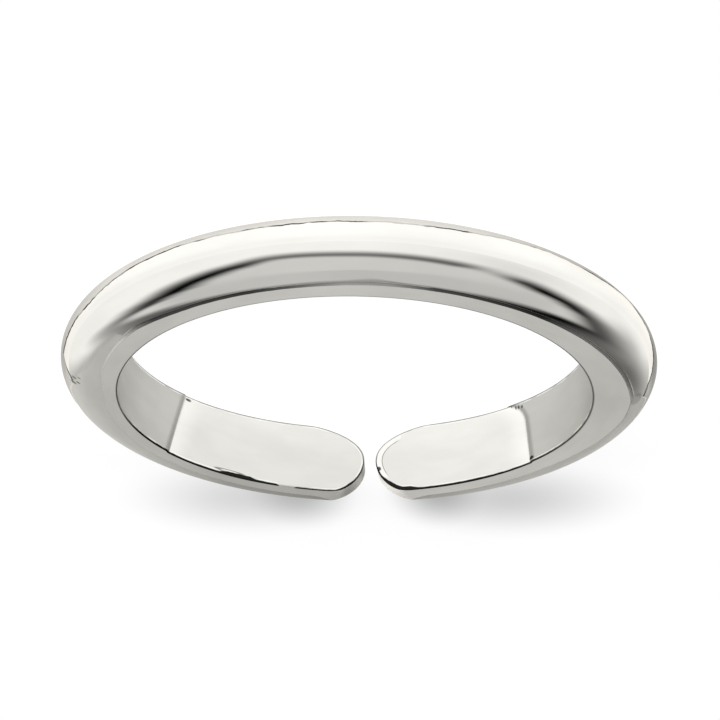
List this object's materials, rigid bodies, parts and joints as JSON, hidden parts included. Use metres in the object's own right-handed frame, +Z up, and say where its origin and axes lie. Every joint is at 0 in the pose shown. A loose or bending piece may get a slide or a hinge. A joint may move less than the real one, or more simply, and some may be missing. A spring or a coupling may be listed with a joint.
{
  "type": "toe ring",
  "caption": "Plain open toe ring: a polished band with a domed outside, flat sides and a narrow gap between rounded tongue ends.",
  "frame": {"origin": "on the axis of the toe hole, in the plane of the lower side that the ring lies on", "axes": "+Z up along the axis of the toe hole, +Y from the closed front of the band to the gap, +X towards the end with the longer pad"},
  "size_m": [0.0176, 0.0176, 0.0022],
  "materials": {
    "polished_silver": "polished sterling silver"
  },
  "bodies": {
    "root": {"band": "polished_silver"}
  },
  "joints": []
}
